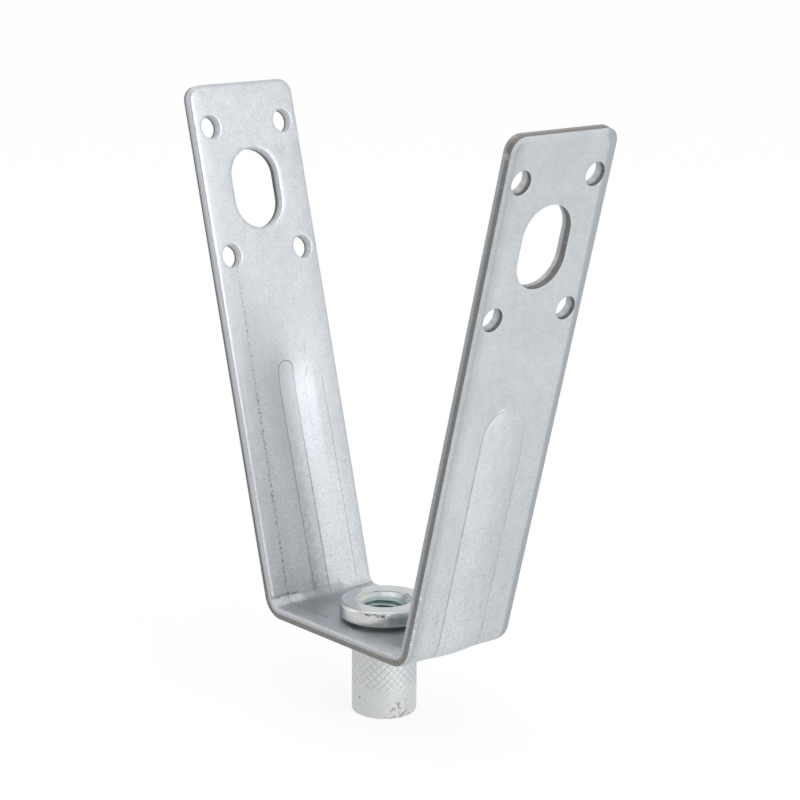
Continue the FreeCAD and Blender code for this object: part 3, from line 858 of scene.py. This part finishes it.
def galvanised_inside():
    """Inner face: dull toward the fold, with the press's lines, the marks of wear, and painted sheen,
    highlights and shade on the groove, the creases, the fold and the middle.
    """
    m = StripNodes("galvanised_inside")
    along, across, rib, rim = m.along, m.across, m.rib, m.rim
    height, clouds, patches, low = zinc_ground(m, INSIDE_DULL, INSIDE_LIGHT)
    leg = m.up(0, 2.5)
    # Painted sheen and shade beside the rib: the far half of the leg lighter, the near half darker
    beside_rib = m.product(m.up(54, 74, 1, 0), leg)
    painted_sheen_and_shade = m.product(m.ramp(across, -3.5, 3.5, -0.16, 0.065), beside_rib, m.ramp(rim, 1.5, 5, 0.2, 1))
    m.shade(m.add(painted_sheen_and_shade, 1))

    # Brownish dullness low in the groove's floor, painted shade on the groove's near slope, and streaks
    # across it
    near_half = m.ramp(across, -1.5, 1.5, 1, 0)
    deep = m.product(m.up(2, 50, 1, 0), m.ramp(rib, 2.1, 3, 1, 0))
    painted_slope_shade = m.product(m.up(2, 62, 0.3, 0.1), m.ramp(rib, 2, 7.5, 1, 0), near_half)
    stain = m.ramp(m.noise(m.place, 640, 4, 0.7), 0.35, 0.65, 0.5, 1.3)
    m.paint(GROOVE_DIRT_AND_SHADE, m.add(m.product(deep, 0.26), painted_slope_shade), stain, m.ramp(along, 19, 24))
    streak = m.stretched(4.5, 0.3, rough=0.65)
    m.paint(STREAK_GREY, m.ramp(streak, 0.52, 0.68), low, m.ramp(across, 1, 4, 1, 0.35), leg, 0.3)

    # Thin lines, and a row of scuffs, that run up the leg
    marks = []
    for low_v, high_v, low_u, high_u, half, strength in LEG_LINES:
        drift = m.up(low_v, high_v, low_u, high_u, smooth=False)
        thin = m.line(m.minus(across, drift), 0, half, 0.1)
        marks.append(m.product(thin, m.between(along, s_of_v(low_v), s_of_v(high_v), 0.3), strength))
    drift = m.up(1.5, SCUFF_TOP_V, -10.5, -9.5, smooth=False)
    wobble = m.ramp(m.noise(m.strip, 0.9, 2), 0.3, 0.7, -0.18, 0.18)
    scuff = m.ramp(m.stretched(1.6, 0.9, 4, 0.8), 0.49, 0.55)
    row = m.line(m.minus(across, m.add(drift, wobble)), 0, 0.12, 0.3)
    reach = m.between(along, 8, s_of_v(SCUFF_TOP_V), 0.5)
    marks.append(m.product(row, scuff, reach, m.up(40, SCUFF_TOP_V + 1, 1, 0.3), 0.85))
    # Painted shade in the crease round the groove's floor, fainter up its right side
    edge = m.line(rib, GROOVE_FLOOR - 0.1, 0.05, 0.2)
    faint = m.ramp(m.add(across, m.up(20, 53, 0, 3)), 2.5, 4.5, 0.52, 0.22)
    faint = m.either(faint, m.product(m.up(52.5, RIB_TOP_V), 0.6))
    marks.append(m.product(edge, m.between(along, s_of_v(-1), s_of_v(60), 0.5), faint))
    # Painted shadow lines in the creases above the fold on the near side, and under its pressed band on the
    # far side
    wander = m.product(m.minus(m.noise(m.strip, 0.5, 3, 0.7), 0.5), 1.1)
    broken = m.ramp(m.noise(m.strip, 1, 3, 0.7), 0.35, 0.55, 0.4, 1)
    for level, half, side, strength in CREASE_SHADOWS:
        crease_shadow = m.line(m.add(along, wander), level, half, 0.35)
        beyond = m.ramp(across, side - 0.5, side + 0.5, *((1, 0) if side < 0 else (0, 1)))
        marks.append(m.product(crease_shadow, beyond, broken, strength))
    # Specks in the pressed slopes low on the leg
    speckle = m.ramp(m.noise(m.place, 1500, 3, 0.75), 0.6, 0.68)
    marks.append(m.product(speckle, low, leg, m.ramp(rib, 2, 9, 0.6, 0.12)))
    # The lines, scuffs and specks are marks; the crease lines are painted shade
    marks_and_shade = m.either(*marks)
    m.paint(MARKS_AND_SHADE_DARK, marks_and_shade)

    # The fold's inner surface is pressed rough beside the groove, with a painted highlight on that pressed
    # band, and is darker where the groove crosses it
    fold = m.between(along, FOLD_START + 1.2, LEG_START + 0.1, 0.5)
    beside = m.ramp(m.math("ABSOLUTE", across), 5.2, 7.2)
    rough_spots = m.ramp(m.noise(m.place, 900, 4, 0.75), 0.35, 0.65)
    m.paint(PRESSED_HIGHLIGHT, fold, beside, rough_spots, 0.5)
    m.paint(FOLD_DULL, fold, m.minus(1, beside), 0.45)
    # Painted shade on the middle, darkest just before the fold, lighter toward the middle and along its front
    # rim
    m.paint(MIDDLE_SHADE, m.ramp(along, 16.5, 23, 0.66, 0), m.ramp(along, 10, 17.5, 0.55, 1),
            m.ramp(rim, 1, 5.5, 0.24, 1), m.ramp(clouds, 0.3, 0.7, 0.8, 1.15))
    # The rolled rim is duller and rougher low on the leg, with a bluish band beside it; a painted highlight
    # lies along the middle's rolled rim
    roll = m.product(m.ramp(rim, 0.7, 1.5, 1, 0), m.up(10, 85, 0.25, 0), leg)
    m.paint(ROLL_DULL_LOW, roll)
    m.paint(ROLL_HIGHLIGHT, m.ramp(rim, 0.5, 1.5, 0.1, 0), m.ramp(along, 18, 24, 1, 0))
    patchy = m.ramp(m.noise(m.strip, 0.35, 2), 0.42, 0.6)
    m.paint(ROLL_BLUISH, m.between(rim, 1.6, 4, 0.6), m.up(5, 55, 0.2, 0), leg, patchy)
    # Light scratches near the leg's end
    m.paint(SCRATCH_LIGHT, m.ramp(m.stretched(0.5, 2.6), 0.62, 0.7), m.up(96, 118), 0.4)

    rough = m.add(m.ramp(patches, 0.3, 0.7, 0.36, 0.46), m.product(marks_and_shade, 0.1))
    rough = m.add(rough, m.product(roll, 0.25))
    height = m.minus(height, m.product(marks_and_shade, 0.8))
    height = m.add(height, m.product(fold, beside, rough_spots, 2.5))
    return m.finish(rough, height, 0.35, 0.00018)


def galvanised_outside():
    """Outer face: satin zinc with painted sheen and shade across the leg and rib, the rib's outline as
    painted crease shade, and pressed rims.
    """
    m = StripNodes("galvanised_outside")
    along, across, rib, rim = m.along, m.across, m.rib, m.rim
    height, clouds, patches, low = zinc_ground(m, OUTSIDE_DULL, OUTSIDE_LIGHT)

    # Painted sheen and shade: the near half lighter and the far half darker, most on the rib; painted shade
    # along the near rim and toward the leg's end
    painted_flank_sheen = m.ramp(across, -4, 8, 0.045, -0.01)
    painted_rib_sheen = m.product(m.ramp(rib, RIB_HALF - 0.3, RIB_HALF, 1, 0),
                       m.ramp(across, -6, 6, 0.07, -0.02, smooth=False))
    painted_sheen_and_shade = m.product(m.add(painted_flank_sheen, painted_rib_sheen), m.up(52, 64, 1, 0))
    m.shade(m.add(painted_sheen_and_shade, 1))
    m.shade(m.ramp(m.add(across, HALF_WIDTH), 0.8, 4.5, 0.84, 1))
    m.shade(m.up(85, 118, 1, 0.955))

    # Painted shade in the rib's outline crease: stronger on its near side, broken, and gone over the far half
    # of its arch
    edge = m.line(rib, RIB_HALF, 0.06, 0.3)
    arch_far = m.product(m.up(50, RIB_TOP_V), m.ramp(across, -1.5, 0.5))
    side = m.ramp(across, -1, 1, 0.5, 0.3)
    broken = m.ramp(m.stretched(0.35, 0.35, rough=0.55), 0.3, 0.55, 0.45, 1)
    fainter = m.up(47, 55, 1, 0.6)
    marks = [m.product(edge, broken, side, fainter, m.minus(1, arch_far))]
    # Fine specks, most of them low on the rib
    speckle = m.ramp(m.noise(m.place, 1300, 3, 0.75), 0.61, 0.68)
    most = m.product(m.ramp(rib, 5.5, 6.3, 1, 0.25), low)
    marks.append(m.product(speckle, m.ramp(most, 0, 1, 0.08, 0.5)))
    # A slanted smudge just above the fold, beside the rib
    slant = m.add(across, m.product(along, 0.12))
    smudge = m.product(m.between(slant, -4.9, -4.3, 0.4), m.between(along, s_of_v(7.5), s_of_v(11.5), 1),
                       m.ramp(patches, 0.4, 0.6))
    marks.append(m.product(smudge, 0.5))
    # The specks and smudge are marks; the rib's outline is painted crease shade
    marks_and_shade = m.either(*marks)
    m.paint(CREASE_SHADE_AND_MARKS, marks_and_shade)

    # The shear's pressure: a faint bluish line inside the near rim, a soft darker band on the far one
    wandering = m.add(rim, m.product(m.minus(clouds, 0.5), 0.9))
    near = m.ramp(across, -12.8, -11.6, 1, 0)
    m.paint(SHEAR_LINE, m.line(wandering, 1.25, 0.08, 0.4), near, 0.45)
    wider = m.minus(wandering, m.up(78, 112, 0, 0.45))
    m.paint(SHEAR_BAND, m.ramp(wider, 1.3, 2.3, 0.8, 0), m.ramp(across, 11, 12.4), m.up(70, 118, 1, 0.8))
    # A painted highlight at the top of the rib's outline
    m.paint(CHIPS_AND_HIGHLIGHT, m.between(across, -3, -1.4, 0.3),
            m.between(rib, RIB_HALF + 0.1, RIB_HALF + 0.5, 0.15), m.up(55, 57),
            m.ramp(patches, 0.35, 0.5, 0.4, 0.8))
    # White chips along the near rim low on the leg
    m.paint(CHIPS_AND_HIGHLIGHT, m.ramp(m.stretched(0.8, 1), 0.55, 0.6), m.ramp(rim, 0.3, 0.6, 1, 0), near,
            m.between(along, s_of_v(1), s_of_v(17), 1.5))

    rough = m.add(m.ramp(patches, 0.3, 0.7, 0.36, 0.46), m.product(marks_and_shade, 0.1))
    height = m.minus(height, m.product(marks_and_shade, 0.6))
    return m.finish(rough, height, 0.33, 0.00016)


def sheared():
    """The cut edge: a drawn, bright band by the inner face and a torn, duller one by the outer face."""
    m = StripNodes("cut_edge")
    past = m.across  # 0 where the torn band begins, as a share of the wall
    through = m.rim  # 0 at the inner face and 1 at the outer one
    x, y, z = m.parts(m.place)
    right = m.ramp(x, 0.022, 0.030)
    left = m.ramp(x, -0.030, -0.022, 1, 0)
    inside = m.ramp(m.math("ABSOLUTE", y), 0.0137, 0.0141, 1, 0)
    hole = m.product(inside, m.ramp(z, 0.1165, 0.1175, 1, 0))
    right_hole = m.product(hole, right)

    ragged = m.stretched(1.1, 0, 4)
    edge = m.add(past, m.product(m.minus(ragged, 0.5), 0.2))
    torn = m.ramp(edge, -0.03, 0.05)
    drawn = m.stretched(3.5, 0.5, rough=0.6)
    grit = m.noise(m.place, 3300, 4, 0.75)
    blotch = m.noise(m.place, 900, 3, 0.6)
    bright = m.mix(right, BRIGHT_MIDDLE, BRIGHT_RIGHT)
    bright = m.mix(left, bright, BRIGHT_LEFT)
    bright = m.mix(right_hole, bright, BRIGHT_RIGHT_HOLE)
    bright = m.scaled(bright, m.ramp(drawn, 0.3, 0.7, 0.95, 1.05))
    bright = m.scaled(bright, m.ramp(past, -0.7, -0.02, 1.34, 0.84, smooth=False))
    duller = m.product(right, m.ramp(past, -0.5, -0.22, 0.14, 0))
    bright = m.scaled(bright, m.minus(1, duller))
    bright = m.scaled(bright, m.ramp(grit, 0.3, 0.7, 0.92, 1.08))
    dull = m.mix(right, DULL_MIDDLE, DULL_RIGHT)
    dull = m.mix(left, dull, DULL_LEFT)
    dull = m.mix(hole, dull, DULL_HOLE)
    dull = m.mix(right_hole, dull, DULL_RIGHT_HOLE)
    dull = m.scaled(dull, m.ramp(grit, 0.3, 0.7, 0.75, 1.25))
    brown = m.product(m.ramp(blotch, 0.52, 0.7), m.ramp(hole, 0, 1, 0.3, 0.6))
    dull = m.mix(brown, dull, TORN_BROWN)
    m.color = m.mix(torn, bright, dull)
    m.paint(LIP_LIGHT, m.ramp(through, 0.93, 0.985), 0.45)
    # At the right leg's end: a rusty corner with a light nick under it, and a duller end
    m.paint(RUST, m.spot(m.place, *RUSTY_CORNER), m.ramp(grit, 0.3, 0.6, 0.35, 0.9))
    m.paint(NICK_LIGHT, m.spot(m.place, *END_NICK), m.ramp(grit, 0.3, 0.6, 0.3, 0.75))
    m.paint(END_DULL, m.ramp(z, 0.1195, 0.1205), right, 0.5)
    rough = m.add(m.product(torn, 0.22), 0.38)
    height = m.add(m.product(grit, m.ramp(torn, 0, 1, 0.35, 1)), m.product(drawn, 0.2))
    return m.finish(rough, height, 0.5, 0.00012)


def zinc_plated():
    """The sleeve: bright zinc over turned steel, with a faint warm and cool play of colour."""
    m = Nodes("zinc_plate")
    place = m.new("ShaderNodeTexCoord").outputs["Object"]
    x, y, z = m.parts(place)
    out = m.math("SQRT", m.add(m.product(x, x), m.product(y, y)))
    clouds = m.noise(place, 150, 3, 0.6)
    patches = m.noise(place, 900, 3, 0.6)
    turning = m.new("ShaderNodeCombineXYZ", {0: out, 1: z}).outputs[0]
    rings = m.noise(turning, 5200, 2, 0.6)
    grit = m.noise(place, 2600, 3, 0.7)
    tint = m.mix(m.ramp(clouds, 0.35, 0.65), PLATE_COOL, PLATE_WARM)
    m.color = m.mix(m.ramp(patches, 0.3, 0.7, 0, 0.2), tint, PLATE_PATCH)
    m.shade(m.ramp(grit, 0.3, 0.7, 0.94, 1.06))
    flange = m.ramp(z, 0.0030, 0.0034)
    # Painted shade in the knurl's cuts, and a slightly duller top on the flange
    cut = m.new("ShaderNodeAttribute", attribute_name="cut").outputs["Fac"]
    m.paint(KNURL_CUT_SHADE, cut, 0.55)
    m.paint(PLATE_TOP, flange, m.ramp(z, 0.0071, 0.0074), 0.15)

    # Wear at the barrel's foot, reaching up on one side
    spots = m.noise(place, 750, 4, 0.75)
    foot = m.product(m.ramp(z, -0.0192, -0.0184, 1, 0), m.ramp(x, -0.004, 0.003, 0.6, 1))
    reach = m.product(m.ramp(spots, 0.5, 0.58), m.spot(place, *WORN_SIDE))
    worn = m.either(m.product(m.ramp(spots, 0.52, 0.58), foot), reach)
    m.paint(PLATE_WORN, worn, 0.7)
    m.paint(FLECK_DARK, m.spot(place, *FLECK), 0.6)
    # Nicks on the flange's shoulder, and painted glints on it, with uneven outlines
    jitter = m.new("ShaderNodeTexNoise", {"Vector": place, "Scale": 1800}).outputs["Color"]
    inputs = {0: jitter, 1: (NICK_JITTER * MM,) * 3, 2: place}
    warped = m.new("ShaderNodeVectorMath", inputs, operation="MULTIPLY_ADD").outputs[0]
    for paint, nicks_and_glints in NICKS_AND_GLINTS:
        spread = []
        for turn, height, radius in nicks_and_glints:
            rise = height - (FLANGE_TOP - SHOULDER_ROUND)
            far = FLANGE_RADIUS - SHOULDER_ROUND + math.sqrt(max(0, SHOULDER_ROUND ** 2 - rise ** 2))
            turn = math.radians(turn)
            centre = (far * math.cos(turn), far * math.sin(turn), height)
            moved = tuple((c + NICK_JITTER / 2) * MM for c in centre)
            half = radius * 0.5 * MM
            spread.append(m.spot(warped, moved, half, half))
        m.paint(paint, m.either(*spread), 0.85)
    # Painted shade, with a teal tint, inside the bore
    inside = m.ramp(out, 0.0051, 0.0054, 1, 0)
    m.paint(PLATE_INSIDE_SHADE, inside)

    rough = m.mix(flange, BARREL_ROUGH, FLANGE_ROUGH)
    rough = m.add(m.add(rough, m.ramp(patches, 0.3, 0.7, -0.03, 0.05)),
                  m.product(m.either(worn, inside), 0.25))
    height = m.total((rings, 0.4), (patches, 0.5))
    height = m.minus(height, m.product(worn, 1.5))
    return m.finish(rough, height, 0.15, 0.00005)


def build_camera():
    sine, cosine = math.sin(CAMERA_AZIMUTH), math.cos(CAMERA_AZIMUTH)
    flat = math.cos(CAMERA_ELEVATION)
    back = Vector((sine * flat, -cosine * flat, math.sin(CAMERA_ELEVATION)))
    right = Vector((cosine, sine, 0.0))
    up = back.cross(right)
    turned_right = right * math.cos(CAMERA_ROLL) + up * math.sin(CAMERA_ROLL)
    turned_up = up * math.cos(CAMERA_ROLL) - right * math.sin(CAMERA_ROLL)
    data = bpy.data.cameras.new("camera")
    data.sensor_width = CAMERA_SENSOR
    data.lens = CAMERA_LENS
    data.clip_start = 0.01
    data.clip_end = 20.0
    camera = in_scene("camera", data)
    matrix = Matrix((turned_right, turned_up, back)).transposed().to_4x4()
    matrix.translation = Vector(CAMERA_TARGET) * MM + back * CAMERA_DISTANCE * MM
    camera.matrix_world = matrix
    bpy.context.scene.camera = camera


def build_floor():
    floor_mesh = bpy.data.meshes.new("floor")
    half = 3.0
    level = BARREL_FOOT * MM - 0.0002
    corners = [(x * half, y * half, level) for x, y in ((-1, -1), (1, -1), (1, 1), (-1, 1))]
    floor_mesh.from_pydata(corners, [], [(0, 1, 2, 3)])
    floor = in_scene("floor", floor_mesh)
    m = Nodes("floor")
    diffuse = m.new("ShaderNodeBsdfDiffuse", {"Color": (0.9, 0.9, 0.9, 1)})
    # White for the camera; as metal mirrors it, dimmer away from the key light's side
    place = m.new("ShaderNodeTexCoord").outputs["Object"]
    toward = m.new("ShaderNodeVectorMath", {0: place}, operation="NORMALIZE").outputs[0]
    bright_side = m.vectors("DOT_PRODUCT", toward, (math.cos(KEY_SIDE), math.sin(KEY_SIDE), 0.0))
    dimmed = m.ramp(bright_side, -0.2, 1.0, FLOOR_DIM, 1.0, smooth=False)
    path = m.new("ShaderNodeLightPath").outputs
    strength = m.either(dimmed, path["Is Camera Ray"])
    glow = m.new("ShaderNodeEmission", {"Color": (1, 1, 1, 1), "Strength": strength})
    seen_or_mirrored = m.either(path["Is Camera Ray"], path["Is Glossy Ray"], path["Is Transmission Ray"])
    m.blend(m.product(seen_or_mirrored, FLOOR_WHITE), diffuse, glow)
    floor_mesh.materials.append(m.material)


def build_world():
    """White all round, and for rays mirrored by metal a little darker, most behind the camera."""
    world = bpy.data.worlds.new("studio")
    m = Nodes("studio", world)
    white = m.new("ShaderNodeBackground", {"Color": (1, 1, 1, 1)})
    toward = m.new("ShaderNodeTexCoord").outputs["Generated"]
    dark_side = m.vectors("DOT_PRODUCT", toward, ROOM_DARK_SIDE)
    room = m.new("ShaderNodeBackground", {"Color": m.ramp(dark_side, 0.1, 0.9, ROOM_BRIGHT, ROOM_DARK)})
    m.blend(m.new("ShaderNodeLightPath").outputs["Is Glossy Ray"], white, room)
    bpy.context.scene.world = world


def build_lights():
    """Square soft lights aimed at the hanger's middle."""
    for name, place, size, power in LIGHTS:
        data = bpy.data.lights.new(name, "AREA")
        data.shape = "RECTANGLE"
        data.size, data.size_y = size
        data.energy = power
        light = in_scene(name, data)
        light.location = place
        aim = Vector((0, 0, 0.05)) - Vector(place)
        light.rotation_euler = aim.to_track_quat("-Z", "Y").to_euler()


bracket = build_bracket()
for material in (galvanised_inside(), galvanised_outside(), sheared()):
    bracket.data.materials.append(material)
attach(bracket, "bracket")
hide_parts("v_bracket")

sleeve = build_sleeve()
sleeve.data.materials.append(zinc_plated())
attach(sleeve, "sleeve")
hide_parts("threaded_sleeve")

build_camera()
build_floor()
build_world()
build_lights()
bpy.context.scene.view_settings.view_transform = "Standard"
